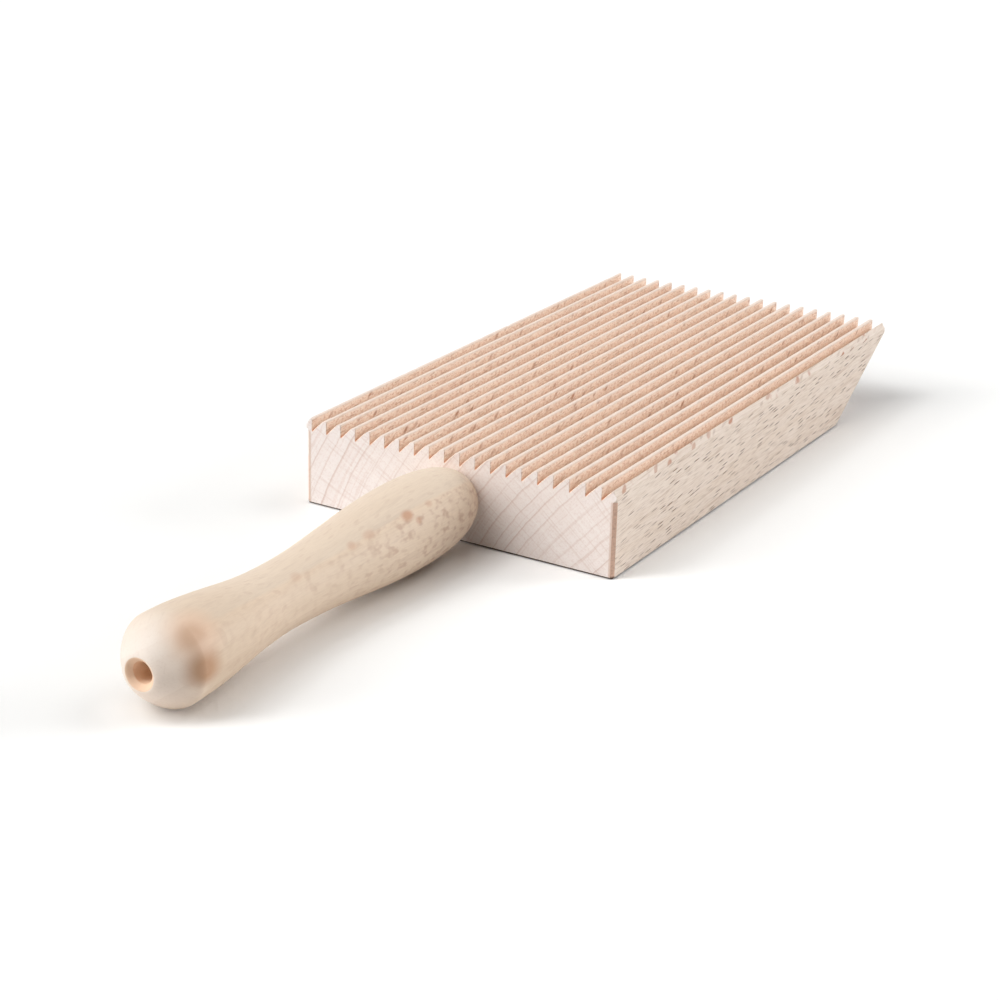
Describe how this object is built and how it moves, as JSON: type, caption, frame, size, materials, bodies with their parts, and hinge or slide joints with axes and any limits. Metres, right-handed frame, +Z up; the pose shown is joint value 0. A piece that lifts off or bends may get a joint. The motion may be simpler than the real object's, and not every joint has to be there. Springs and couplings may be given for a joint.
{
  "type": "gnocchi board",
  "caption": "Wooden board with saw-tooth ridges along its top and a turned handle, for rolling and marking small dumplings.",
  "frame": {"origin": "middle of the whole board's bounding box at the bottom, on the surface that the block rests on", "axes": "+Y from the handle's butt to the block's far end, +Z up from the underside to the ridges, +X to the right of someone holding the handle"},
  "size_m": [0.07, 0.2252, 0.0182],
  "materials": {
    "block_beech": "bare beech, planed and grooved, with pinkish end grain and short brown ray flecks",
    "handle_beech": "bare beech, turned and sanded smooth",
    "dowel_beech": "bare beech, fluted"
  },
  "bodies": {
    "root": {"ridged_block": "block_beech", "turned_handle": "handle_beech", "joint_dowel": "dowel_beech"}
  },
  "joints": []
}
